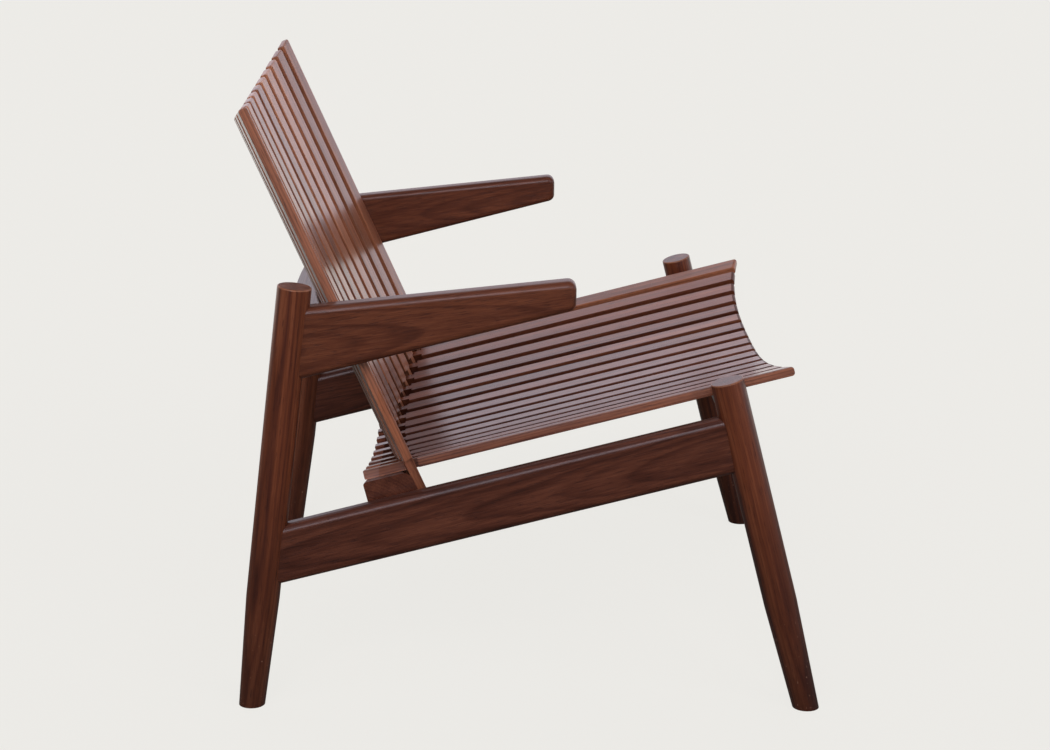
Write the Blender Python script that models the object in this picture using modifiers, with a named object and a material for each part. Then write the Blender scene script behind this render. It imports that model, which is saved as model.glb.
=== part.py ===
import math

import bmesh
import bpy
from mathutils import Matrix, Vector

# Lounge chair of round legs, plank arms and two crossing fans of slats.
# +X is the front of the chair, +Y the sitter's left, +Z up.
# The origin is on the floor under the middle of the chair's box. Sizes are in metres.

# Legs, turned round and tapered to the foot
LEG_DIAMETER = 0.0432
LEG_SPACING = 0.709
FOOT_DIAMETER = 0.0338
LEG_TAPER = 0.150
LEG_RIM = 0.0018
REAR_FOOT_X = -0.3558
FOOT_SPREAD = 0.7258
REAR_LEG_HEIGHT = 0.5609
REAR_LEG_LEAN = math.radians(6.57)
FRONT_LEG_HEIGHT = 0.4408
FRONT_LEG_LEAN = math.radians(-15.0)
FRONT_LEG_SPLAY = math.radians(1.6)

# Where the seat's top and the back's front cross at the sides, and how both slope
CROSS_FROM_REAR_FOOT = 0.2136
CROSS_HEIGHT = 0.3235
SEAT_SLOPE = math.radians(14.56)
BACK_LEAN = math.radians(24.2)

# Slats
SEAT_SLATS = 16
BACK_SLATS = SEAT_SLATS + 1
SLAT_PITCH = 0.0403
SLAT_WIDTH = 0.028
SLAT_THICKNESS = 0.012
SLAT_EDGE = 0.0014
SEAT_NOSE = 0.0042
BACK_NOSE = 0.0033
SLAT_TURN = 0.96
TONGUE_WIDTH = 0.0135
SEAT_RADIUS = 1.360
SEAT_FRONT = 0.5005
SEAT_FRONT_SCOOP = 0.0278
SEAT_SCOOP_POWER = 3.3
SEAT_REAR = 0.0715
SEAT_SHOULDER = 0.010
BACK_RADIUS = 1.204
BACK_TOP = 0.5022
BACK_TOP_SCOOP = 0.0317
BACK_SCOOP_POWER = 2
BACK_SHOULDER = 0.006
BACK_BELOW_SEAT = 0.055

# Arms, planks that taper towards the front
ARM_THICKNESS = 0.032
ARM_INSET = 0.0022
ARM_REACH = 0.415
ARM_FRONT_TOP = 0.572
ARM_FRONT_DEPTH = 0.038
ARM_TOP_SLOPE = math.radians(6.21)
ARM_UNDER_SLOPE = math.radians(14.79)
ARM_CORNER = 0.0105
ARM_EDGE = 0.0085

# Rails
SIDE_RAIL_THICKNESS = 0.028
SIDE_RAIL_HEIGHT = 0.0761
SIDE_RAIL_DROP = 0.0296
SIDE_RAIL_EDGE = 0.010
REAR_RAIL_DEPTH = 0.058
FRONT_RAIL_THICKNESS = 0.026
FRONT_RAIL_DEPTH = 0.040
RAIL_CORNER = 0.004
REAR_RAIL_NOSE = 0.012
BED_STEP = 0.002
BACK_RAIL_THICKNESS = 0.0365
BACK_RAIL_HEIGHT = 0.050
BACK_RAIL_DROP = 0.0118

# Loose tenons: length, height and thickness, and how deep one end goes in
ARM_TENON = (0.037, 0.045, 0.008)
ARM_TENON_IN_LEG = 0.017
SIDE_TENON = (0.041, 0.045, 0.010)
SIDE_TENON_IN_LEG = 0.016
REAR_TENON = (0.024, 0.030, 0.010)
FRONT_TENON = (0.035, 0.018, 0.012)
FRONT_TENON_IN_LEG = 0.015
BACK_TENON = (0.026, 0.026, 0.018)
BACK_TENON_IN_ARM = 0.009
TENON_EDGE = 0.0015

# Fits and fineness
JOINT_GAP = 0.0003
LEG_SIDES = 48
CORNER_STEPS = 5
RAIL_CORNER_STEPS = 3
EDGE_STEPS = 3
SLAT_EDGE_STEPS = 2
BEVEL_FROM = math.radians(60)
FLAT_ANGLE = math.radians(0.05)
WELD = 0.000001
CUTTER_MARGIN = 0.02

for old in list(bpy.data.objects):
    bpy.data.objects.remove(old, do_unlink=True)

PARTS = bpy.data.collections.new("lounge_chair")
CUTTERS = bpy.data.collections.new("cutters")
CUTTERS.hide_render = True
for group in (PARTS, CUTTERS):
    bpy.context.scene.collection.children.link(group)

WALNUT_TONES = {
    "leg": (0.105, 0.040, 0.022),
    "armrest": (0.095, 0.035, 0.020),
    "rail": (0.085, 0.031, 0.019),
    "slat": (0.115, 0.046, 0.028),
    "tenon": (0.330, 0.200, 0.110),
}
SATIN_ROUGHNESS = 0.38
BARE_ROUGHNESS = 0.70

SIDEWAYS = Vector((0, 1, 0))
UPRIGHT = Vector((0, 0, 1))
FORWARD = Vector((1, 0, 0))
LEG_RADIUS = LEG_DIAMETER / 2
LEG_Y = LEG_SPACING / 2
FRONT_FOOT_X = REAR_FOOT_X + FOOT_SPREAD
ARM_FRONT_X = REAR_FOOT_X + ARM_REACH
ARM_TOP_START = Vector((ARM_FRONT_X, 0, ARM_FRONT_TOP))
ARM_UNDER_START = Vector((ARM_FRONT_X, 0, ARM_FRONT_TOP - ARM_FRONT_DEPTH))
ARM_TOP_LINE = Vector((1, 0, math.tan(ARM_TOP_SLOPE)))
ARM_UNDER_LINE = Vector((1, 0, math.tan(ARM_UNDER_SLOPE)))
ARM_Y = LEG_Y - ARM_INSET
ARM_INNER_Y = ARM_Y - ARM_THICKNESS / 2
SIDE_RAIL_INNER_Y = LEG_Y - SIDE_RAIL_THICKNESS / 2
CROSS = Vector((REAR_FOOT_X + CROSS_FROM_REAR_FOOT, 0, CROSS_HEIGHT))
SEAT_ALONG = Vector((math.cos(SEAT_SLOPE), 0, math.sin(SEAT_SLOPE)))
SEAT_NORMAL = Vector((-math.sin(SEAT_SLOPE), 0, math.cos(SEAT_SLOPE)))
BACK_UP = Vector((-math.sin(BACK_LEAN), 0, math.cos(BACK_LEAN)))
BACK_FORWARD = Vector((math.cos(BACK_LEAN), 0, math.sin(BACK_LEAN)))
SLAT_BED = SLAT_THICKNESS + JOINT_GAP


def finish(name, mesh, place, tone, roughness=SATIN_ROUGHNESS):
    """Put a mesh in the chair as one named piece with its own wood."""
    piece = bpy.data.objects.new(name, mesh)
    piece.matrix_world = place
    PARTS.objects.link(piece)
    wood = bpy.data.materials.new(name + "_wood")
    wood.use_nodes = True
    shader = wood.node_tree.nodes["Principled BSDF"]
    shader.inputs["Base Color"].default_value = (*WALNUT_TONES[tone], 1)
    shader.inputs["Roughness"].default_value = roughness
    shader.inputs["Metallic"].default_value = 0
    mesh.materials.append(wood)
    return piece


def as_cutter(name, mesh, place):
    cutter = bpy.data.objects.new(name, mesh)
    cutter.matrix_world = place
    cutter.hide_render = True
    cutter.display_type = "WIRE"
    CUTTERS.objects.link(cutter)
    return cutter


def cut(piece, cutter):
    boolean = piece.modifiers.new("cut by " + cutter.name, "BOOLEAN")
    boolean.operation = "DIFFERENCE"
    boolean.solver = "EXACT"
    boolean.object = cutter


def round_edges(piece, radius, steps):
    bevel = piece.modifiers.new("rounded edges", "BEVEL")
    bevel.width = radius
    bevel.segments = steps
    bevel.limit_method = "ANGLE"
    bevel.angle_limit = BEVEL_FROM
    bevel.use_clamp_overlap = False


def smooth(mesh):
    mesh.shade_smooth()
    mesh.set_sharp_from_angle(angle=BEVEL_FROM / 2)


def placed(origin, first, second):
    """Matrix whose local X and Y run along two given directions."""
    turn = Matrix((first, second, first.cross(second))).transposed()
    return Matrix.Translation(origin) @ turn.to_4x4()


def rounded_outline(corners, steps=CORNER_STEPS):
    """Closed outline through (x, y, radius) corners."""
    points = []
    for index, (x, y, radius) in enumerate(corners):
        here = Vector((x, y))
        before = (Vector(corners[index - 1][:2]) - here).normalized()
        after = (Vector(corners[(index + 1) % len(corners)][:2]) - here).normalized()
        if radius == 0:
            points.append(here)
            continue
        half = before.angle(after) / 2
        middle = here + (before + after).normalized() * (radius / math.sin(half))
        first = here + before * (radius / math.tan(half)) - middle
        last = here + after * (radius / math.tan(half)) - middle
        start = math.atan2(first.y, first.x)
        sweep = math.atan2(first.cross(last), first.dot(last))
        for step in range(steps + 1):
            angle = start + sweep * step / steps
            points.append(middle + radius * Vector((math.cos(angle), math.sin(angle))))
    return points


def plate_mesh(name, outline, thickness):
    """Flat outline in local XY, as thick to both sides of it."""
    curve = bpy.data.curves.new(name, "CURVE")
    curve.dimensions = "2D"
    curve.fill_mode = "BOTH"
    curve.extrude = thickness / 2
    spline = curve.splines.new("POLY")
    spline.points.add(len(outline) - 1)
    for point, (x, y) in zip(spline.points, outline):
        point.co = (x, y, 0, 1)
    spline.use_cyclic_u = True
    guide = bpy.data.objects.new(name + "_outline", curve)
    bpy.context.scene.collection.objects.link(guide)
    graph = bpy.context.evaluated_depsgraph_get()
    mesh = bpy.data.meshes.new_from_object(guide.evaluated_get(graph))
    mesh.name = name
    bpy.data.objects.remove(guide, do_unlink=True)
    shape = bmesh.new()
    shape.from_mesh(mesh)
    bmesh.ops.remove_doubles(shape, verts=shape.verts, dist=WELD)
    bmesh.ops.dissolve_limit(
        shape, angle_limit=FLAT_ANGLE, verts=shape.verts, edges=shape.edges
    )
    bmesh.ops.recalc_face_normals(shape, faces=shape.faces)
    shape.to_mesh(mesh)
    shape.free()
    smooth(mesh)
    return mesh


def block_mesh(name, size):
    shape = bmesh.new()
    bmesh.ops.create_cube(shape, size=1)
    bmesh.ops.scale(shape, vec=size, verts=shape.verts)
    mesh = bpy.data.meshes.new(name)
    shape.to_mesh(mesh)
    shape.free()
    return mesh


def meet(start, direction, foot, axis):
    """Point of a line in the side view where it crosses a leg's axis."""
    gap = foot - start
    side = direction.x * axis.z - direction.z * axis.x
    return start + direction * ((gap.x * axis.z - gap.z * axis.x) / side)


def on_seat(along, normal):
    return CROSS + SEAT_ALONG * along + SEAT_NORMAL * normal


def on_back(up, forward):
    return CROSS + BACK_UP * up + BACK_FORWARD * forward


# The fans: slats on an arc, set out so that the outer edge of the last one is at level 0

def fan_angle(place, radius):
    return place * SLAT_PITCH / radius


SEAT_LAST = fan_angle((SEAT_SLATS - 1) / 2, SEAT_RADIUS)
BACK_LAST = fan_angle((BACK_SLATS - 1) / 2, BACK_RADIUS)
SEAT_EDGE_Y = SEAT_RADIUS * math.sin(SEAT_LAST) + SLAT_WIDTH / 2
BACK_EDGE_Y = BACK_RADIUS * math.sin(BACK_LAST) + SLAT_WIDTH / 2


def fan_centre(radius, last):
    return radius * math.cos(last) - SLAT_WIDTH / 2 * math.sin(last * SLAT_TURN)


SEAT_CENTRE = fan_centre(SEAT_RADIUS, SEAT_LAST)
BACK_CENTRE = fan_centre(BACK_RADIUS, BACK_LAST)


def seat_level(y, below=0):
    """Height over the seat line of the seat's top, or of an arc a set distance below it."""
    return SEAT_CENTRE - math.sqrt((SEAT_RADIUS + below) ** 2 - y**2)


def back_level(y, behind=0):
    """The same for the back's front face and arcs behind it."""
    return BACK_CENTRE - math.sqrt((BACK_RADIUS + behind) ** 2 - y**2)


def seat_fan(number):
    """Place across the chair, level and turn of one seat slat."""
    angle = fan_angle(number - (SEAT_SLATS - 1) / 2, SEAT_RADIUS)
    y = SEAT_RADIUS * math.sin(angle)
    return y, seat_level(y), angle * SLAT_TURN


def back_fan(number):
    angle = fan_angle(number - (BACK_SLATS - 1) / 2, BACK_RADIUS)
    y = BACK_RADIUS * math.sin(angle)
    return y, back_level(y), angle * SLAT_TURN


def bed(slats):
    """Flat seats cut in a rail, one under each slat of a fan, as (y, level) points."""
    points = []
    half = (SLAT_PITCH - BED_STEP) / 2
    for y, level, turn in slats:
        middle_y = y + SLAT_BED * math.sin(turn)
        middle = level - SLAT_BED * math.cos(turn)
        for offset in (-half, half):
            points.append((middle_y + offset, middle + offset * math.tan(turn)))
    return points


def on_bed(points, y):
    for (low_y, low), (high_y, high) in zip(points, points[1:]):
        if y <= high_y:
            break
    return low + (high - low) * (y - low_y) / (high_y - low_y)


SEAT_BED = bed([seat_fan(number) for number in range(SEAT_SLATS)])
BACK_BED = bed([back_fan(number) for number in range(BACK_SLATS)])


def seat_along_at(forward, normal):
    """Distance along the seat of a point known by its seat height and back depth."""
    return (forward - normal * SEAT_NORMAL.dot(BACK_FORWARD)) / SEAT_ALONG.dot(BACK_FORWARD)


def back_up_at(forward, normal):
    return (normal - forward * BACK_FORWARD.dot(SEAT_NORMAL)) / BACK_UP.dot(SEAT_NORMAL)


# Legs and the cutters that scribe other pieces to them

def leg_direction(lean):
    return Vector((math.sin(lean), 0, math.cos(lean)))


REAR_AXIS = leg_direction(REAR_LEG_LEAN)
FRONT_AXIS = leg_direction(FRONT_LEG_LEAN)
FLOOR = as_cutter(
    "floor_cutter",
    block_mesh("floor_cutter", (FOOT_SPREAD * 2, LEG_SPACING * 2, LEG_TAPER)),
    Matrix.Translation((0, 0, -LEG_TAPER / 2)),
)


def leg_profile(length):
    rim = []
    for step in range(EDGE_STEPS + 1):
        angle = math.pi / 2 * (1 - step / EDGE_STEPS)
        across = LEG_RADIUS - LEG_RIM + LEG_RIM * math.cos(angle)
        rim.append((across, length - LEG_RIM + LEG_RIM * math.sin(angle)))
    narrowing = (LEG_DIAMETER - FOOT_DIAMETER) / 2 / LEG_TAPER
    below = FOOT_DIAMETER / 2 - narrowing * CUTTER_MARGIN
    foot = [(LEG_RADIUS, LEG_TAPER), (below, -CUTTER_MARGIN), (0, -CUTTER_MARGIN)]
    return [(0, length), *rim, *foot]


def make_leg(name, foot, axis, height):
    """One turned leg, its foot cut level with the floor, and its scribing cutter."""
    length = height / axis.z
    shape = bmesh.new()
    points = [shape.verts.new((across, 0, up)) for across, up in leg_profile(length)]
    for upper, lower in zip(points, points[1:]):
        shape.edges.new((upper, lower))
    mesh = bpy.data.meshes.new(name)
    shape.to_mesh(mesh)
    shape.free()
    turned = UPRIGHT.rotation_difference(axis).to_matrix().to_4x4()
    place = Matrix.Translation(foot) @ turned
    leg = finish(name, mesh, place, "leg")
    turn = leg.modifiers.new("turned", "SCREW")
    turn.axis = "Z"
    turn.steps = LEG_SIDES
    turn.render_steps = LEG_SIDES
    turn.use_merge_vertices = True
    turn.merge_threshold = 0.00001
    turn.use_smooth_shade = True
    cut(leg, FLOOR)

    scribe = bmesh.new()
    bmesh.ops.create_cone(
        scribe,
        cap_ends=True,
        segments=LEG_SIDES,
        radius1=LEG_RADIUS + JOINT_GAP,
        radius2=LEG_RADIUS + JOINT_GAP,
        depth=length + 2 * CUTTER_MARGIN,
        matrix=Matrix.Translation((0, 0, length / 2)),
    )
    scribe_mesh = bpy.data.meshes.new(name + "_scribe")
    scribe.to_mesh(scribe_mesh)
    scribe.free()
    return leg, as_cutter(name + "_scribe", scribe_mesh, place)


def make_tenon(name, size, place, *joined):
    """A loose tenon and the mortises it sits in."""
    tenon = finish(name, block_mesh(name, size), place, "tenon", BARE_ROUGHNESS)
    round_edges(tenon, TENON_EDGE, SLAT_EDGE_STEPS)
    roomy = tuple(side + 2 * JOINT_GAP for side in size)
    mortise = as_cutter(name + "_mortise", block_mesh(name + "_mortise", roomy), place)
    for piece in joined:
        cut(piece, mortise)


def make_plate(name, outline, thickness, place, tone, radius, steps=EDGE_STEPS):
    piece = finish(name, plate_mesh(name, outline, thickness), place, tone)
    round_edges(piece, radius, steps)
    return piece


def make_beam(name, sections, tone):
    """Loft through matching closed sections, one after the other across the chair."""
    shape = bmesh.new()
    rings = [[shape.verts.new(point) for point in section] for section in sections]
    for left, right in zip(rings, rings[1:]):
        for index in range(len(left)):
            shape.faces.new((left[index - 1], left[index], right[index], right[index - 1]))
    shape.faces.new(rings[0])
    shape.faces.new(rings[-1])
    bmesh.ops.recalc_face_normals(shape, faces=shape.faces)
    mesh = bpy.data.meshes.new(name)
    shape.to_mesh(mesh)
    shape.free()
    smooth(mesh)
    return finish(name, mesh, Matrix.Identity(4), tone)


def stations(reach, *beds):
    """Places across the chair where a rail's sections stand: its ends and its seats' edges."""
    inside = [y for points in beds for y, _ in points if abs(y) < reach - BED_STEP]
    return [-reach, *sorted(inside), reach]


# Slats

def slat(name, start, end, nose, skew, shoulder, place):
    """One slat, its end rounded over and cut askew, so that a fan's ends follow one curve."""
    corners = [
        (start, -SLAT_THICKNESS, 0),
        (end, -SLAT_THICKNESS, nose),
        (end, 0, nose),
        (start, 0, 0),
    ]
    mesh = plate_mesh(name, rounded_outline(corners), SLAT_WIDTH)
    for vertex in mesh.vertices:
        if vertex.co.x > shoulder:
            vertex.co.x += skew * vertex.co.z
    piece = finish(name, mesh, place, "slat")
    round_edges(piece, SLAT_EDGE, SLAT_EDGE_STEPS)
    low = start - CUTTER_MARGIN
    waste = (SLAT_WIDTH - TONGUE_WIDTH) / 2 + CUTTER_MARGIN
    shape = bmesh.new()
    for side in (-1, 1):
        made = bmesh.ops.create_cube(shape, size=1)["verts"]
        size = (shoulder - low, SLAT_THICKNESS + 2 * CUTTER_MARGIN, waste)
        bmesh.ops.scale(shape, vec=size, verts=made)
        middle = ((low + shoulder) / 2, -SLAT_THICKNESS / 2, side * (TONGUE_WIDTH + waste) / 2)
        bmesh.ops.translate(shape, vec=middle, verts=made)
    mesh = bpy.data.meshes.new(name + "_notch")
    shape.to_mesh(mesh)
    shape.free()
    cut(piece, as_cutter(name + "_notch", mesh, place))


def scooped(edge, scoop, share, power):
    return edge - scoop * (1 - abs(share) ** power)


def scoop_skew(scoop, y, edge_y, power):
    """How much the scooped edge gains per distance across the chair."""
    return math.copysign(scoop * power / edge_y * abs(y / edge_y) ** (power - 1), y)


def make_seat_slat(number):
    y, level, turn = seat_fan(number)
    normal = SEAT_NORMAL * math.cos(turn) - SIDEWAYS * math.sin(turn)
    place = placed(on_seat(0, level) + SIDEWAYS * y, SEAT_ALONG, normal)
    shoulder = seat_along_at(back_level(y), level) + SEAT_SHOULDER
    front = scooped(SEAT_FRONT, SEAT_FRONT_SCOOP, y / SEAT_EDGE_Y, SEAT_SCOOP_POWER)
    skew = -scoop_skew(SEAT_FRONT_SCOOP, y, SEAT_EDGE_Y, SEAT_SCOOP_POWER)
    slat(f"seat_slat_{number + 1:02d}", -SEAT_REAR, front, SEAT_NOSE, skew, shoulder, place)


def make_back_slat(number):
    y, level, turn = back_fan(number)
    forward = BACK_FORWARD * math.cos(turn) - SIDEWAYS * math.sin(turn)
    place = placed(on_back(0, level) + SIDEWAYS * y, BACK_UP, forward)
    crossing = back_up_at(level, seat_level(y))
    top = scooped(BACK_TOP, BACK_TOP_SCOOP, y / BACK_EDGE_Y, BACK_SCOOP_POWER)
    skew = scoop_skew(BACK_TOP_SCOOP, y, BACK_EDGE_Y, BACK_SCOOP_POWER)
    name = f"back_slat_{number + 1:02d}"
    bottom = crossing - BACK_BELOW_SEAT
    slat(name, bottom, top, BACK_NOSE, skew, crossing + BACK_SHOULDER, place)


for number in range(SEAT_SLATS):
    make_seat_slat(number)
for number in range(BACK_SLATS):
    make_back_slat(number)


# Rails that run across the chair

def seat_section(y, corners):
    outline = rounded_outline(corners, RAIL_CORNER_STEPS)
    return [on_seat(*point) + SIDEWAYS * y for point in outline]


def rear_rail_section(y):
    top = on_bed(SEAT_BED, y)
    bottom = seat_level(y, SLAT_BED) - REAR_RAIL_DEPTH
    face = on_bed(BACK_BED, y)
    corners = [
        (-SEAT_REAR, bottom, RAIL_CORNER),
        (seat_along_at(face, bottom), bottom, RAIL_CORNER),
        (seat_along_at(face, top), top, REAR_RAIL_NOSE),
        (-SEAT_REAR, top, RAIL_CORNER),
    ]
    return seat_section(y, corners)


REAR_RAIL_REACH = SIDE_RAIL_INNER_Y - JOINT_GAP
rear_rail_stations = stations(REAR_RAIL_REACH, SEAT_BED, BACK_BED)
rear_rail = make_beam("rear_seat_rail", [rear_rail_section(y) for y in rear_rail_stations], "rail")

FRONT_RAIL_LEVEL = seat_level(LEG_Y - LEG_RADIUS, SLAT_BED) - FRONT_RAIL_DEPTH / 2
FRONT_FOOT = Vector((FRONT_FOOT_X, 0, 0))
REAR_FOOT = Vector((REAR_FOOT_X, 0, 0))
FRONT_RAIL_POINT = meet(on_seat(0, FRONT_RAIL_LEVEL), SEAT_ALONG, FRONT_FOOT, FRONT_AXIS)
FRONT_RAIL_ALONG = (FRONT_RAIL_POINT - CROSS).dot(SEAT_ALONG)


def front_rail_section(y):
    top = on_bed(SEAT_BED, y)
    bottom = seat_level(y, SLAT_BED) - FRONT_RAIL_DEPTH
    rear = FRONT_RAIL_ALONG - FRONT_RAIL_THICKNESS / 2
    front = FRONT_RAIL_ALONG + FRONT_RAIL_THICKNESS / 2
    corners = [(rear, bottom), (front, bottom), (front, top), (rear, top)]
    return seat_section(y, [(*corner, RAIL_CORNER) for corner in corners])


front_rail_stations = stations(LEG_Y, SEAT_BED)
front_rail = make_beam(
    "front_seat_rail", [front_rail_section(y) for y in front_rail_stations], "rail"
)

# The back rail's ends are a little under mid depth of the arms
BACK_RAIL_REACH = ARM_INNER_Y - JOINT_GAP
BACK_RAIL_MIDDLE_BEHIND = back_level(BACK_RAIL_REACH, SLAT_BED + BACK_RAIL_THICKNESS / 2)
ARM_MIDDLE = meet(
    (ARM_TOP_START + ARM_UNDER_START) / 2,
    ARM_TOP_LINE + ARM_UNDER_LINE,
    on_back(0, BACK_RAIL_MIDDLE_BEHIND),
    BACK_UP,
)
BACK_RAIL_MIDDLE = (ARM_MIDDLE - CROSS).dot(BACK_UP) - BACK_RAIL_DROP
BACK_RAIL_BOTTOM = BACK_RAIL_MIDDLE - BACK_RAIL_HEIGHT / 2
BACK_RAIL_TOP = BACK_RAIL_MIDDLE + BACK_RAIL_HEIGHT / 2


def back_rail_section(y):
    face = on_bed(BACK_BED, y)
    rear = back_level(y, SLAT_BED + BACK_RAIL_THICKNESS)
    corners = [
        (BACK_RAIL_BOTTOM, face, RAIL_CORNER),
        (BACK_RAIL_BOTTOM, rear, RAIL_CORNER),
        (BACK_RAIL_TOP, rear, RAIL_CORNER),
        (BACK_RAIL_TOP, face, RAIL_CORNER),
    ]
    outline = rounded_outline(corners, RAIL_CORNER_STEPS)
    return [on_back(*point) + SIDEWAYS * y for point in outline]


back_rail_stations = stations(BACK_RAIL_REACH, BACK_BED)
back_rail = make_beam("back_rail", [back_rail_section(y) for y in back_rail_stations], "rail")


# Sides: two legs, a side rail and an arm each, and the tenons that hold them

def arm_outline():
    top_end = meet(ARM_TOP_START, ARM_TOP_LINE, REAR_FOOT, REAR_AXIS)
    under_end = meet(ARM_UNDER_START, ARM_UNDER_LINE, REAR_FOOT, REAR_AXIS)
    corners = [
        (under_end.x, under_end.z, 0),
        (ARM_UNDER_START.x, ARM_UNDER_START.z, ARM_CORNER),
        (ARM_TOP_START.x, ARM_TOP_START.z, ARM_CORNER),
        (top_end.x, top_end.z, 0),
    ]
    return rounded_outline(corners), (under_end + top_end) / 2


def side_rail_outline():
    corners = []
    for drop in (SIDE_RAIL_DROP + SIDE_RAIL_HEIGHT, SIDE_RAIL_DROP):
        line = on_seat(0, -drop)
        rear = meet(line, SEAT_ALONG, REAR_FOOT, REAR_AXIS)
        front = meet(line, SEAT_ALONG, FRONT_FOOT, FRONT_AXIS)
        ends = (rear, front) if not corners else (front, rear)
        corners += [(end.x, end.z, 0) for end in ends]
    return rounded_outline(corners)


ARM_OUTLINE, ARM_ROOT = arm_outline()
SIDE_RAIL_OUTLINE = side_rail_outline()
SIDE_RAIL_MIDDLE = on_seat(0, -SIDE_RAIL_DROP - SIDE_RAIL_HEIGHT / 2)


def make_side(side, hand):
    y = hand * LEG_Y
    rear_leg, rear_scribe = make_leg(
        f"rear_{side}_leg", REAR_FOOT + SIDEWAYS * y, REAR_AXIS, REAR_LEG_HEIGHT
    )
    joint = meet(SIDE_RAIL_MIDDLE, SEAT_ALONG, FRONT_FOOT, FRONT_AXIS)
    splay = SIDEWAYS * hand * math.tan(FRONT_LEG_SPLAY)
    front_leg, front_scribe = make_leg(
        f"front_{side}_leg",
        FRONT_FOOT + SIDEWAYS * y + splay * joint.z,
        (FRONT_AXIS / FRONT_AXIS.z - splay).normalized(),
        FRONT_LEG_HEIGHT,
    )
    upright = placed(SIDEWAYS * y, FORWARD, UPRIGHT)
    rail = make_plate(
        f"{side}_side_rail",
        SIDE_RAIL_OUTLINE,
        SIDE_RAIL_THICKNESS,
        upright,
        "rail",
        SIDE_RAIL_EDGE,
    )
    cut(rail, rear_scribe)
    cut(rail, front_scribe)
    arm_place = placed(SIDEWAYS * hand * ARM_Y, FORWARD, UPRIGHT)
    arm = make_plate(
        f"{side}_armrest", ARM_OUTLINE, ARM_THICKNESS, arm_place, "armrest", ARM_EDGE
    )
    cut(arm, rear_scribe)
    cut(front_rail, front_scribe)

    forward = REAR_AXIS.cross(-SIDEWAYS)
    reach = LEG_RADIUS - ARM_TENON_IN_LEG + ARM_TENON[0] / 2
    root = ARM_ROOT + SIDEWAYS * hand * ARM_Y + forward * reach
    make_tenon(f"{side}_arm_tenon", ARM_TENON, placed(root, forward, REAR_AXIS), rear_leg, arm)

    reach = LEG_RADIUS - SIDE_TENON_IN_LEG + SIDE_TENON[0] / 2
    root = meet(SIDE_RAIL_MIDDLE, SEAT_ALONG, REAR_FOOT, REAR_AXIS) + SEAT_ALONG * reach
    make_tenon(
        f"{side}_rail_rear_tenon",
        SIDE_TENON,
        placed(root + SIDEWAYS * y, SEAT_ALONG, SEAT_NORMAL),
        rear_leg,
        rail,
    )
    root = joint - SEAT_ALONG * reach
    make_tenon(
        f"{side}_rail_front_tenon",
        SIDE_TENON,
        placed(root + SIDEWAYS * y, SEAT_ALONG, SEAT_NORMAL),
        front_leg,
        rail,
    )

    across = SIDEWAYS * hand
    rail_bottom = seat_level(REAR_RAIL_REACH, SLAT_BED) - REAR_RAIL_DEPTH
    root = on_seat(-SEAT_REAR / 2, (rail_bottom - SIDE_RAIL_DROP) / 2)
    make_tenon(
        f"{side}_rear_rail_tenon",
        REAR_TENON,
        placed(root + across * SIDE_RAIL_INNER_Y, across, SEAT_ALONG),
        rear_rail,
        rail,
    )

    root = on_seat(FRONT_RAIL_ALONG, FRONT_RAIL_LEVEL)
    middle_y = LEG_Y - LEG_RADIUS + FRONT_TENON_IN_LEG - FRONT_TENON[0] / 2
    make_tenon(
        f"{side}_front_rail_tenon",
        FRONT_TENON,
        placed(root + across * middle_y, across, SEAT_NORMAL),
        front_rail,
        front_leg,
    )

    root = on_back(BACK_RAIL_MIDDLE, BACK_RAIL_MIDDLE_BEHIND)
    middle_y = ARM_INNER_Y + BACK_TENON_IN_ARM - BACK_TENON[0] / 2
    make_tenon(
        f"{side}_back_rail_tenon",
        BACK_TENON,
        placed(root + across * middle_y, across, BACK_UP),
        back_rail,
        arm,
    )


make_side("left", 1)
make_side("right", -1)
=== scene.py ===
import math
import random

import bmesh
import bpy
from mathutils import Matrix, Vector


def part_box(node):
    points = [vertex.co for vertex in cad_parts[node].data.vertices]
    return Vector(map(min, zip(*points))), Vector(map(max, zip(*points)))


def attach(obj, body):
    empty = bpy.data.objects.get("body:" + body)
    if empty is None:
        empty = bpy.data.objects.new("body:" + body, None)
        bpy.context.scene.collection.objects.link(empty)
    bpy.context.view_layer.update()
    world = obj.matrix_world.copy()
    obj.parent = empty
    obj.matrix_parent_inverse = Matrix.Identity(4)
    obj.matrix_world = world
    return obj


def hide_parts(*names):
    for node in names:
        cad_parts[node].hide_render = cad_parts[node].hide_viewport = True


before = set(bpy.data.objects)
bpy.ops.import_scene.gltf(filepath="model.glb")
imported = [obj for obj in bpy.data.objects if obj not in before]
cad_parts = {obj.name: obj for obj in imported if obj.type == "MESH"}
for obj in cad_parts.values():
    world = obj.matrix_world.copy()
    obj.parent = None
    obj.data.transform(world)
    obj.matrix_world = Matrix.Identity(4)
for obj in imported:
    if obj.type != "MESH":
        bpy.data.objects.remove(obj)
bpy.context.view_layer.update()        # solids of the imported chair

# Lounge chair in walnut: +X is its front, +Y the sitter's left, +Z up, metres.
print("frame loaded:", len(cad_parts), "solids")


def hexColour(text):
    # sRGB hex to linear, the form that the shaders take
    parts = [int(text[i:i + 2], 16) / 255 for i in (1, 3, 5)]
    return [c / 12.92 if c <= 0.04045 else ((c + 0.055) / 1.055) ** 2.4 for c in parts] + [1.0]


def addNode(tree, kind, inputs=None, stops=(), **settings):
    # an input is a plain value, or the output socket it is linked to; stops are a colour ramp's
    node = tree.nodes.new(kind)
    for name, value in settings.items():
        setattr(node, name, value)
    for name, value in (inputs or {}).items():
        if isinstance(value, bpy.types.NodeSocket):
            tree.links.new(value, node.inputs[name])
        else:
            node.inputs[name].default_value = value
    for i, (place, colour) in enumerate(stops):
        ramp = node.color_ramp.elements
        stop = ramp[i] if i < 2 else ramp.new(place)
        stop.position = place
        stop.color = hexColour(colour)
    return node


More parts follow.
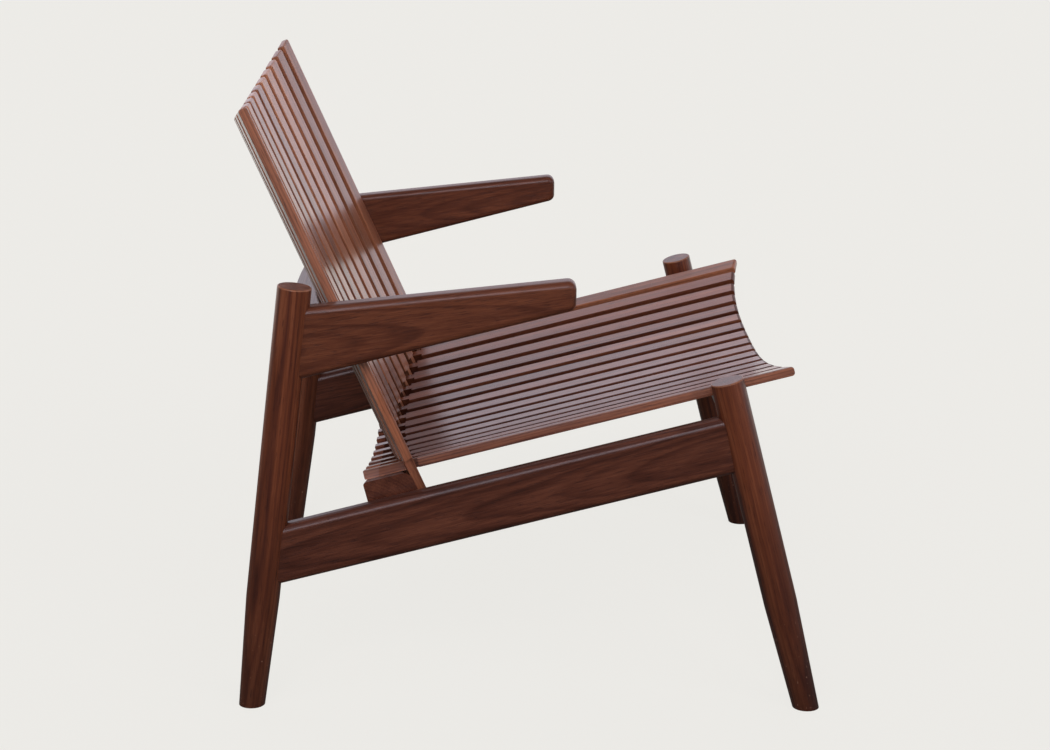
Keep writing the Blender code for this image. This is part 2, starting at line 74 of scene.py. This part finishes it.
# Camera, fitted to the feet, leg tops, arms and rails in the photograph
cameraSet = {
    "place": (-0.0836, -3.0427, 1.2035),
    "yaw": 1.7041,          # degrees towards the chair's front
    "down": 15.699,
    "roll": 0.685,
    "lens": 76.0824,
    "sensor": 36.0,
    "reach": 200.0,
}


def setCamera(s):
    yaw, down, roll = (math.radians(s[k]) for k in ("yaw", "down", "roll"))
    ahead = Vector((math.sin(yaw) * math.cos(down), math.cos(yaw) * math.cos(down), -math.sin(down)))
    right = Vector((math.cos(yaw), -math.sin(yaw), 0))
    up = right.cross(ahead)
    sideways = right * math.cos(roll) + up * math.sin(roll)
    upright = up * math.cos(roll) - right * math.sin(roll)
    lens = bpy.data.cameras.new("camera")
    lens.lens = s["lens"]
    lens.sensor_width = s["sensor"]
    lens.sensor_fit = "HORIZONTAL"
    lens.clip_end = s["reach"]
    camera = bpy.data.objects.new("camera", lens)
    turn = Matrix((sideways, upright, -ahead)).transposed().to_4x4()
    camera.matrix_world = Matrix.Translation(s["place"]) @ turn
    bpy.context.scene.collection.objects.link(camera)
    bpy.context.scene.camera = camera


setCamera(cameraSet)
bpy.context.scene.view_settings.view_transform = "Standard"
print("camera set")

# Studio: bright paper behind and a dim room else, so that the wood's rounded edges stay deep in colour.
# A small softbox hangs over the camera with a wide, weak one above it, one hangs on each side of the
# camera, and one before the chair.
lightSet = {
    "room": 0.08,
    "wall": 1.20, "wallFrom": 0.05, "wallTo": 0.75,     # by the direction's Y
    "above": 0.20, "aboveFrom": 0.55, "aboveTo": 0.85,  # by the direction's Z
    "tint": "#f4eefb",
    "backdrop": "#ecebe7",
    "softboxes": (          # where each hangs, the cosines over which its edge fades, and its strength
        {"towards": (-0.14, -0.86, 0.50), "from": 0.95, "to": 0.985, "level": 7.0},
        {"towards": (0.60, -0.68, 0.42), "from": 0.90, "to": 0.97, "level": 2.6},
        {"towards": (-0.62, -0.66, 0.42), "from": 0.90, "to": 0.97, "level": 1.5},
        {"towards": (-0.10, -0.76, 0.64), "from": 0.72, "to": 0.92, "level": 0.4},
        {"towards": (0.97, 0.0, 0.24), "from": 0.945, "to": 0.98, "level": 2.0},
    ),
}


def lightStudio(s):
    world = bpy.data.worlds.new("soft studio")
    bpy.context.scene.world = world
    world.use_nodes = True
    tree = world.node_tree
    tree.nodes.clear()
    towards = addNode(tree, "ShaderNodeTexCoord").outputs["Generated"]
    axes = addNode(tree, "ShaderNodeSeparateXYZ", {0: towards})
    wall = addNode(tree, "ShaderNodeMapRange", {
        "Value": axes.outputs["Y"], "From Min": s["wallFrom"], "From Max": s["wallTo"],
        "To Min": s["room"], "To Max": s["wall"]}, interpolation_type="SMOOTHSTEP")
    above = addNode(tree, "ShaderNodeMapRange", {
        "Value": axes.outputs["Z"], "From Min": s["aboveFrom"], "From Max": s["aboveTo"]},
        interpolation_type="SMOOTHSTEP")
    shell = addNode(tree, "ShaderNodeMix", {
        "Factor": above.outputs["Result"], "A": wall.outputs["Result"], "B": s["above"]})
    level = shell.outputs["Result"]
    for box in s["softboxes"]:
        cosine = addNode(tree, "ShaderNodeVectorMath", {
            0: towards, 1: Vector(box["towards"]).normalized()}, operation="DOT_PRODUCT")
        glow = addNode(tree, "ShaderNodeMapRange", {
            "Value": cosine.outputs["Value"], "From Min": box["from"], "From Max": box["to"],
            "To Max": box["level"]}, interpolation_type="SMOOTHSTEP")
        level = addNode(tree, "ShaderNodeMath", {0: level, 1: glow.outputs["Result"]}).outputs["Value"]
    lit = addNode(tree, "ShaderNodeBackground", {"Color": hexColour(s["tint"]), "Strength": level})
    seen = addNode(tree, "ShaderNodeBackground", {"Color": hexColour(s["backdrop"])})
    path = addNode(tree, "ShaderNodeLightPath")
    both = addNode(tree, "ShaderNodeMixShader", {
        "Fac": path.outputs["Is Camera Ray"], 1: lit.outputs[0], 2: seen.outputs[0]})
    addNode(tree, "ShaderNodeOutputWorld", {"Surface": both.outputs[0]})


lightStudio(lightSet)

# Floor: pale paper of an even tone, so most of it glows and a small share takes the soft shadows
floorSet = {
    "halfSize": 40.0,
    "paper": "#ecebe7",
    "glow": 0.925,
    "dim": 0.06, "dimUpTo": 0.5,            # what the chair gets back from the camera's side
    "bright": 1.42, "brightFrom": 3.0,      # and from behind it
    "shade": "#52514b",
}


def layFloor(s):
    paper = bpy.data.materials.new("matt studio paper")
    paper.use_nodes = True
    tree = paper.node_tree
    tree.nodes.clear()
    place = addNode(tree, "ShaderNodeTexCoord").outputs["Object"]
    depth = addNode(tree, "ShaderNodeSeparateXYZ", {0: place}).outputs["Y"]
    inRoom = addNode(tree, "ShaderNodeMapRange", {
        "Value": depth, "From Min": s["dimUpTo"], "From Max": s["brightFrom"],
        "To Min": s["dim"], "To Max": s["bright"]}, interpolation_type="SMOOTHSTEP")
    path = addNode(tree, "ShaderNodeLightPath")
    level = addNode(tree, "ShaderNodeMapRange", {
        "Value": path.outputs["Is Camera Ray"], "To Min": inRoom.outputs["Result"], "To Max": s["glow"]})
    glow = addNode(tree, "ShaderNodeEmission", {
        "Color": hexColour(s["paper"]), "Strength": level.outputs["Result"]})
    matt = addNode(tree, "ShaderNodeBsdfDiffuse", {"Color": hexColour(s["shade"])})
    both = addNode(tree, "ShaderNodeAddShader", {0: glow.outputs[0], 1: matt.outputs[0]})
    addNode(tree, "ShaderNodeOutputMaterial", {"Surface": both.outputs[0]})
    work = bmesh.new()
    bmesh.ops.create_grid(work, x_segments=1, y_segments=1, size=s["halfSize"])
    mesh = bpy.data.meshes.new("floor")
    work.to_mesh(mesh)
    work.free()
    mesh.materials.append(paper)
    floor = bpy.data.objects.new("floor", mesh)
    bpy.context.scene.collection.objects.link(floor)


layFloor(floorSet)
print("studio lit")

# Satin-lacquered walnut: red-brown heartwood with straight fibre, dark late-wood lines, fine open pores
# and a soft sheen that goes grey at a low angle. The legs' eased edges are paler, partly rubbed wear and
# partly a painted highlight, and the flanks of the slats are dull and darkened with painted shade. Sizes in
# metres, read along the piece's own grain.
walnutSet = {
    "ringGap": 0.0042,                      # 4 mm between year rings
    "ringSway": 0.010,
    "ringProfile": (                        # how dark a ring is from its start to its end
        (0.0, "#aaaaaa"), (0.12, "#000000"), (0.50, "#595959"), (0.90, "#ffffff"), (1.0, "#aaaaaa")),
    "ringEven": 0.2,                        # the share of a ring's darkness that every ring has
    "layers": {                             # repeats per metre along and across the grain, and detail
        "sway": ((2.4, 9.0, 9.0), 2),
        "streak": ((1.3, 62.0, 62.0), 3),   # bands about 16 mm wide
        "fibre": ((13.0, 560.0, 560.0), 4), # near 2 mm wide, coarser than real, so that they show
        "pore": ((42.0, 900.0, 900.0), 1),  # near 1 mm wide, 4 times the real ones, so that they show
        "nick": ((160.0, 300.0, 300.0), 2), # knocks on the legs
    },
    "layerRoughness": 0.6,
    "poreFrom": 0.60, "poreTo": 0.70,
    "poreColour": "#1c0b07",
    "ior": 1.5,
    "coatRoughness": 0.22,
    "fibreFrom": 0.25, "fibreTo": 0.75,
    "smooth": 0.28, "rough": 0.42,
    "fibreHeight": 0.6,
    "bump": 0.25, "bumpDepth": 0.0004,
}


def drawRings(tree, s, grain, sway):
    # late wood of the year rings round the pith, which sways along the trunk
    flat = addNode(tree, "ShaderNodeVectorMath", {0: grain, 1: (0, 1, 1)}, operation="MULTIPLY")
    radius = addNode(tree, "ShaderNodeVectorMath", {0: flat.outputs["Vector"]}, operation="LENGTH")
    swayed = addNode(tree, "ShaderNodeMath", {
        0: sway, 1: s["ringSway"], 2: radius.outputs["Value"]}, operation="MULTIPLY_ADD")
    ringAt = addNode(tree, "ShaderNodeMath", {
        0: swayed.outputs["Value"], 1: s["ringGap"]}, operation="DIVIDE").outputs["Value"]
    ringPart = addNode(tree, "ShaderNodeMath", {0: ringAt}, operation="FRACT")
    ringCount = addNode(tree, "ShaderNodeMath", {0: ringAt}, operation="FLOOR")
    ringLuck = addNode(tree, "ShaderNodeTexWhiteNoise", {
        "W": ringCount.outputs["Value"]}, noise_dimensions="1D")
    ringDepth = addNode(tree, "ShaderNodeMapRange", {
        "Value": ringLuck.outputs["Value"], "To Min": s["ringEven"]})
    profile = addNode(tree, "ShaderNodeValToRGB", {"Fac": ringPart.outputs["Value"]}, s["ringProfile"])
    lateWood = addNode(tree, "ShaderNodeMath", {
        0: profile.outputs["Color"], 1: ringDepth.outputs["Result"]}, operation="MULTIPLY")
    return lateWood.outputs["Value"]


def shadeAndNickFoot(tree, s, nick):
    # painted shade that darkens the leg towards the foot, and pale nicks where shoes have knocked the
    # lacquer
    place = addNode(tree, "ShaderNodeTexCoord").outputs["Object"]
    height = addNode(tree, "ShaderNodeSeparateXYZ", {0: place}).outputs["Z"]
    shadeToFoot = addNode(tree, "ShaderNodeMapRange", {
        "Value": height, "From Min": s["footShadeTop"], "From Max": s["base"], "To Max": s["footShadeShare"]})
    low = addNode(tree, "ShaderNodeMapRange", {
        "Value": height, "From Min": s["nickTop"], "From Max": s["base"]})
    deep = addNode(tree, "ShaderNodeMapRange", {
        "Value": nick, "From Min": s["nickFrom"], "From Max": s["nickTo"]})
    knocked = addNode(tree, "ShaderNodeMath", {
        0: deep.outputs["Result"], 1: low.outputs["Result"]}, operation="MULTIPLY")
    return [(shadeToFoot.outputs["Result"], s["footShadeColour"]), (knocked.outputs["Value"], s["nickColour"])]


def makeWalnut(s, look):
    wood = bpy.data.materials.new(look["name"])
    wood.use_nodes = True
    tree = wood.node_tree
    tree.nodes.clear()
    grain = addNode(tree, "ShaderNodeAttribute", attribute_name="grain").outputs["Vector"]
    tone = addNode(tree, "ShaderNodeAttribute", attribute_name="tone").outputs["Fac"]
    rim = addNode(tree, "ShaderNodeAttribute", attribute_name="rim").outputs["Fac"]
    noise = {}
    for layer, (scale, detail) in s["layers"].items():
        place = addNode(tree, "ShaderNodeVectorMath", {0: grain, 1: scale}, operation="MULTIPLY")
        noise[layer] = addNode(tree, "ShaderNodeTexNoise", {
            "Vector": place.outputs["Vector"], "Scale": 1.0, "Detail": detail,
            "Roughness": s["layerRoughness"]}).outputs["Fac"]

    # streaks, fibres and rings add up to one depth, which the colours follow from dark to light
    patterns = {"streak": noise["streak"], "fibre": noise["fibre"]}
    patterns["ring"] = drawRings(tree, s, grain, noise["sway"])
    depth = tone
    for kind, pattern in patterns.items():
        depth = addNode(tree, "ShaderNodeMath", {
            0: pattern, 1: look[kind], 2: depth}, operation="MULTIPLY_ADD").outputs["Value"]
    colour = addNode(tree, "ShaderNodeValToRGB", {"Fac": depth}, look["colours"]).outputs["Color"]

    # what is laid over the heartwood's colour, each with its share and colour: the rims' tint (painted
    # shade on slat flanks, wear with a painted highlight on the legs), pores, and painted shade and nicks
    # at the foot
    overlays = []
    if look["rimTint"]:
        most, tint = look["rimTint"]
        onRim = addNode(tree, "ShaderNodeMath", {0: rim, 1: most}, operation="MULTIPLY")
        overlays.append((onRim.outputs["Value"], tint))
    pore = addNode(tree, "ShaderNodeMapRange", {
        "Value": noise["pore"], "From Min": s["poreFrom"], "From Max": s["poreTo"]}).outputs["Result"]
    inPore = addNode(tree, "ShaderNodeMath", {0: pore, 1: look["pore"]}, operation="MULTIPLY")
    overlays.append((inPore.outputs["Value"], s["poreColour"]))
    if look["footShadeAndWear"]:
        overlays += shadeAndNickFoot(tree, look["footShadeAndWear"], noise["nick"])
    for share, tint in overlays:
        colour = addNode(tree, "ShaderNodeMix", {
            "Factor": share, "A": colour, "B": hexColour(tint)}, data_type="RGBA").outputs["Result"]

    # the lacquer over it follows fibres and pores, and is thinner on the rims
    sheen = addNode(tree, "ShaderNodeMapRange", {
        "Value": noise["fibre"], "From Min": s["fibreFrom"], "From Max": s["fibreTo"],
        "To Min": s["smooth"], "To Max": s["rough"]})
    ridge = addNode(tree, "ShaderNodeMath", {
        0: noise["fibre"], 1: s["fibreHeight"]}, operation="MULTIPLY")
    relief = addNode(tree, "ShaderNodeMath", {0: ridge.outputs["Value"], 1: pore}, operation="SUBTRACT")
    bump = addNode(tree, "ShaderNodeBump", {
        "Strength": s["bump"], "Distance": s["bumpDepth"], "Height": relief.outputs["Value"]})
    gloss = {}
    for kind in ("specular", "coat"):
        full = look[kind]
        gloss[kind] = addNode(tree, "ShaderNodeMapRange", {
            "Value": rim, "To Min": full, "To Max": full * (1 - look["rimMatt"])}).outputs["Result"]
    lacquer = addNode(tree, "ShaderNodeBsdfPrincipled", {
        "Base Color": colour, "Roughness": sheen.outputs["Result"], "Normal": bump.outputs["Normal"],
        "IOR": s["ior"], "Specular IOR Level": gloss["specular"],
        "Coat Weight": gloss["coat"], "Coat Roughness": s["coatRoughness"]})
    addNode(tree, "ShaderNodeOutputMaterial", {"Surface": lacquer.outputs[0]})
    return wood


# the legs take painted shade towards the floor, and pale nicks of wear low down
footShadeAndNicks = {                # tops are heights above the floor
    "base": 0.0,
    "footShadeColour": "#1f0d08", "footShadeShare": 0.68, "footShadeTop": 0.34,
    "nickColour": "#b08a72", "nickFrom": 0.70, "nickTo": 0.76, "nickTop": 0.16,
}
plankLook = {"pore": 0.50, "specular": 0.20, "coat": 0.12, "rimTint": None, "rimMatt": 0.0, "footShadeAndWear": None}
slatLook = {"streak": 0.70, "fibre": 0.55, "ring": -0.22, "pore": 0.50, "footShadeAndWear": None}
# How strongly streaks, fibres, rings and pores show on each kind of piece, below zero where they darken,
# how it shines, what tints and dulls its rims (painted shade on slat flanks, wear and a painted highlight
# on the legs), the painted shade and nicks at its foot, and its colours from dark to light
woodSets = {
    "leg": {
        "name": "satin-lacquered walnut, turned",
        "streak": 1.10, "fibre": 0.40, "ring": -0.34, "pore": 0.55,
        # the pale rim tint is partly rubbed wear and partly a painted highlight on the eased edges
        "specular": 0.25, "coat": 0.22, "rimTint": (0.35, "#a8714c"), "rimMatt": 0.0, "footShadeAndWear": footShadeAndNicks,
        "colours": ((0.10, "#260f09"), (0.38, "#452013"), (0.60, "#61321c"), (0.85, "#804b30")),
    },
    "arm": plankLook | {
        "name": "satin-lacquered walnut, plank",
        "streak": 0.45, "fibre": 0.50, "ring": -0.18,
        "colours": ((0.10, "#30150c"), (0.38, "#512b1b"), (0.60, "#6c3e27"), (0.85, "#885838")),
    },
    "rail": plankLook | {
        "name": "satin-lacquered walnut, rail",
        "streak": 0.60, "fibre": 0.50, "ring": -0.20,
        "colours": ((0.10, "#28120b"), (0.38, "#462519"), (0.60, "#5e3625"), (0.85, "#784c34")),
    },
    "seat": slatLook | {
        "name": "satin-lacquered walnut, seat slat",
        # the dark rim tint is painted shade in the gaps between the seat slats
        "specular": 0.40, "coat": 0.40, "rimTint": (0.65, "#1a0a06"), "rimMatt": 0.85,
        "colours": ((0.10, "#3e1c12"), (0.38, "#693925"), (0.60, "#874c31"), (0.85, "#a96c47")),
    },
    "back": slatLook | {
        "name": "satin-lacquered walnut, back slat",
        # the dark rim tint is painted shade on the tongues' flanks where the fans cross
        "specular": 0.48, "coat": 0.46, "rimTint": (0.65, "#1a0a06"), "rimMatt": 0.85,
        "colours": ((0.10, "#4a2719"), (0.38, "#7a4c34"), (0.60, "#9a6245"), (0.85, "#ba845d")),
    },
    "outer": slatLook | {       # the first and the last slat of both fans
        "name": "satin-lacquered walnut, outer slat",
        "specular": 0.40, "coat": 0.40, "rimTint": None, "rimMatt": 0.60,
        "colours": ((0.10, "#462518"), (0.38, "#784932"), (0.60, "#9a6142"), (0.85, "#bd835a")),
    },
}
woods = {kind: makeWalnut(walnutSet, look) for kind, look in woodSets.items()}

# Bare sawn hardwood of the hidden tenons: pale, matt, long fibres
tenonSet = {
    "name": "bare hardwood, sawn",
    "colours": ((0.25, "#8a6440"), (0.75, "#b48a5c")),
    "fibreScale": (400.0, 400.0, 30.0),     # fibres near 2.5 mm, coarser than real, so that they show
    "fibreDetail": 3,
    "rough": 0.7,
}


def makeBareWood(s):
    wood = bpy.data.materials.new(s["name"])
    wood.use_nodes = True
    tree = wood.node_tree
    tree.nodes.clear()
    place = addNode(tree, "ShaderNodeTexCoord").outputs["Object"]
    drawn = addNode(tree, "ShaderNodeMapping", {"Vector": place, "Scale": s["fibreScale"]})
    fibre = addNode(tree, "ShaderNodeTexNoise", {
        "Vector": drawn.outputs["Vector"], "Scale": 1.0, "Detail": s["fibreDetail"]})
    colour = addNode(tree, "ShaderNodeValToRGB", {"Fac": fibre.outputs["Fac"]}, s["colours"])
    bare = addNode(tree, "ShaderNodeBsdfPrincipled", {
        "Base Color": colour.outputs["Color"], "Roughness": s["rough"]})
    addNode(tree, "ShaderNodeOutputMaterial", {"Surface": bare.outputs[0]})
    return wood


bareWood = makeBareWood(tenonSet)
for name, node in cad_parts.items():
    if name.endswith("tenon"):
        node.data.materials.clear()
        node.data.materials.append(bareWood)
print("finishes mixed")

dressSet = {
    "merge": 1e-5,
    "flat": 0.1,            # degrees within which faces count as one
    "sharp": 38.0,          # degrees past which an edge stays crisp
    "evenness": 60,
}


def copySolid(s, name, narrow):
    # a merged copy of the node's solid, smooth but for its crisp edges, with its rims marked
    work = bmesh.new()
    work.from_mesh(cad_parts[name].data)
    bmesh.ops.remove_doubles(work, verts=work.verts, dist=s["merge"])
    bmesh.ops.dissolve_limit(
        work, angle_limit=math.radians(s["flat"]), verts=work.verts, edges=work.edges,
        use_dissolve_boundaries=False)
    for x in narrow["cuts"]:
        bmesh.ops.bisect_plane(
            work, geom=work.verts[:] + work.edges[:] + work.faces[:],
            plane_co=(x, 0, 0), plane_no=(1, 0, 0))
    rim = work.faces.layers.float.new("rim")
    thinnest, widest = narrow["widths"]
    first, last = narrow["between"]
    for face in work.faces:
        face.smooth = True
        width = 2 * face.calc_area() / face.calc_perimeter()
        place = face.calc_center_median()[narrow["axis"]]
        face[rim] = float(thinnest < width < widest and first < place < last)
    for edge in work.edges:
        edge.smooth = len(edge.link_faces) == 2 and edge.calc_face_angle() < math.radians(s["sharp"])
    mesh = bpy.data.meshes.new(name + "_walnut")
    work.to_mesh(mesh)
    work.free()
    return mesh


def layGrain(mesh, middle, lay):
    # stores at each point its place in the trunk: along the grain, and across and through from the pith
    along = Vector(lay["along"]).normalized()
    bark = Vector(lay["bark"])
    through = (bark - along * bark.dot(along)).normalized()
    across = through.cross(along)
    grain = []
    for vertex in mesh.vertices:
        place = vertex.co - middle
        grain.append(place.dot(along) + lay["start"])
        grain.append(place.dot(across) + lay["pith"][0])
        grain.append(place.dot(through) + lay["pith"][1])
    mesh.attributes.new("grain", "FLOAT_VECTOR", "POINT").data.foreach_set("vector", grain)
    tones = [lay["tone"]] * len(mesh.vertices)
    mesh.attributes.new("tone", "FLOAT", "POINT").data.foreach_set("value", tones)


def dress(s, name, wood, narrow, lay):
    # the walnut piece that stands for a solid
    mesh = copySolid(s, name, narrow)
    low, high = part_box(name)
    layGrain(mesh, (Vector(low) + Vector(high)) / 2, lay)
    mesh.materials.append(wood)
    piece = bpy.data.objects.new(name + "_walnut", mesh)
    bpy.context.scene.collection.objects.link(piece)
    soft = piece.modifiers.new("even shading", "WEIGHTED_NORMAL")
    soft.keep_sharp = True
    soft.weight = s["evenness"]
    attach(piece, "root")
    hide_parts(name)
    return piece


# Where the seat's and the back's fans pass through each other, and how much painted shade takes off the
# tone there
crossing = {"rear": -0.19, "front": -0.08, "top": 0.40, "shadeDrop": 0.11}


def shadeCrossing(s, mesh):
    # painted shade darkens a slat at the crossing, where the fans shade each other
    tones = mesh.attributes["tone"].data
    for vertex in mesh.vertices:
        if s["rear"] < vertex.co.x < s["front"] and vertex.co.z < s["top"]:
            tones[vertex.index].value -= s["shadeDrop"]


# Rims are the faces of these widths whose middles lie between two places on an axis, after cuts at these X
# on the legs these eased edges take a pale tint: partly rubbed wear, partly a painted highlight
easedEdge = {"widths": (0.0, 0.0016), "axis": 2, "between": (0.0, math.inf), "cuts": ()}
seatFlank = {       # flanks and eased edges, which the seat's look darkens with painted shade, but not those of the tails behind the crossing
    "widths": (0.0, 0.012), "axis": 0, "between": (crossing["rear"], math.inf), "cuts": (crossing["rear"],)}
backFlank = {       # flanks of the tongues at the crossing, which the back's look darkens with painted shade
    "widths": (0.003, 0.012), "axis": 2, "between": (0.0, 0.42), "cuts": (crossing["rear"],)}

# Lay of the grain: the slopes of legs, arms, rails and slats in degrees, how far the grain runs out
# sideways, which way the bark lay, how far off and to the side the pith was in metres, and how much paler
# or darker the board is
trunk = 9.0                 # metres of trunk that the pieces are cut from
luck = random.Random(41)
seatSlope = 14.56
backSlope = 114.2
legSets = {
    "front": {"lean": -15.0, "runOut": -0.028, "bark": 0.3, "pith": 0.07, "offPith": 0.03, "tone": -0.16},
    "rear": {"lean": 6.57, "runOut": 0.0, "bark": -0.8, "pith": 0.10, "offPith": 0.03, "tone": -0.09},
}
armSet = {"slope": 9.0, "runOut": 0.05, "pith": 0.055, "offPith": 0.01, "tone": -0.03}
railSet = {"slope": seatSlope, "runOut": -0.04, "pith": 0.045, "offPith": 0.02, "tone": -0.10}
for side, outward in (("right", -1), ("left", 1)):
    for end, s in legSets.items():
        lean = math.radians(s["lean"])
        dress(dressSet, f"{end}_{side}_leg", woods["leg"], easedEdge, {
            "along": (math.sin(lean), outward * s["runOut"], math.cos(lean)),
            "bark": (s["bark"], outward, 0),
            "pith": (luck.uniform(-s["offPith"], s["offPith"]), s["pith"]),
            "start": luck.uniform(0, trunk),
            "tone": s["tone"],
        })
    for kind, wood, s in (("armrest", "arm", armSet), ("side_rail", "rail", railSet)):
        slope = math.radians(s["slope"])
        dress(dressSet, f"{side}_{kind}", woods[wood], easedEdge, {
            "along": (math.cos(slope), s["runOut"], math.sin(slope)),
            "bark": (0, outward, 0),
            "pith": (luck.uniform(-s["offPith"], s["offPith"]), s["pith"]),
            "start": luck.uniform(0, trunk),
            "tone": s["tone"],
        })

crossRailSet = {"bark": (1, 0, 0.3), "pith": (0.03, 0.06), "tone": -0.08}
for name in ("back_rail", "rear_seat_rail", "front_seat_rail"):
    dress(dressSet, name, woods["rail"], easedEdge, crossRailSet | {
        "along": (0, 1, 0),
        "start": luck.uniform(0, trunk),
    })

slatSets = {
    "seat": {"slope": seatSlope, "rims": seatFlank, "tone": (-0.17, 0.05)},
    "back": {"slope": backSlope, "rims": backFlank, "tone": (-0.15, 0.09)},
}
slatPith = {"offPith": 0.08, "pith": (0.05, 0.12)}
for kind, s in slatSets.items():
    slope = math.radians(s["slope"])
    names = sorted(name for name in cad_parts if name.startswith(kind + "_slat"))
    for name in names:
        wood = woods["outer" if name in (names[0], names[-1]) else kind]
        piece = dress(dressSet, name, wood, s["rims"], {
            "along": (math.cos(slope), 0, math.sin(slope)),
            "bark": (-math.sin(slope), 0, math.cos(slope)),
            "pith": (
                luck.uniform(-slatPith["offPith"], slatPith["offPith"]), luck.uniform(*slatPith["pith"])),
            "start": luck.uniform(0, trunk),
            "tone": luck.uniform(*s["tone"]),
        })
        # painted shade where the fans cross
        shadeCrossing(crossing, piece.data)
print("walnut laid on", sum(not name.endswith("tenon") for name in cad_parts), "pieces")

bpy.context.view_layer.update()
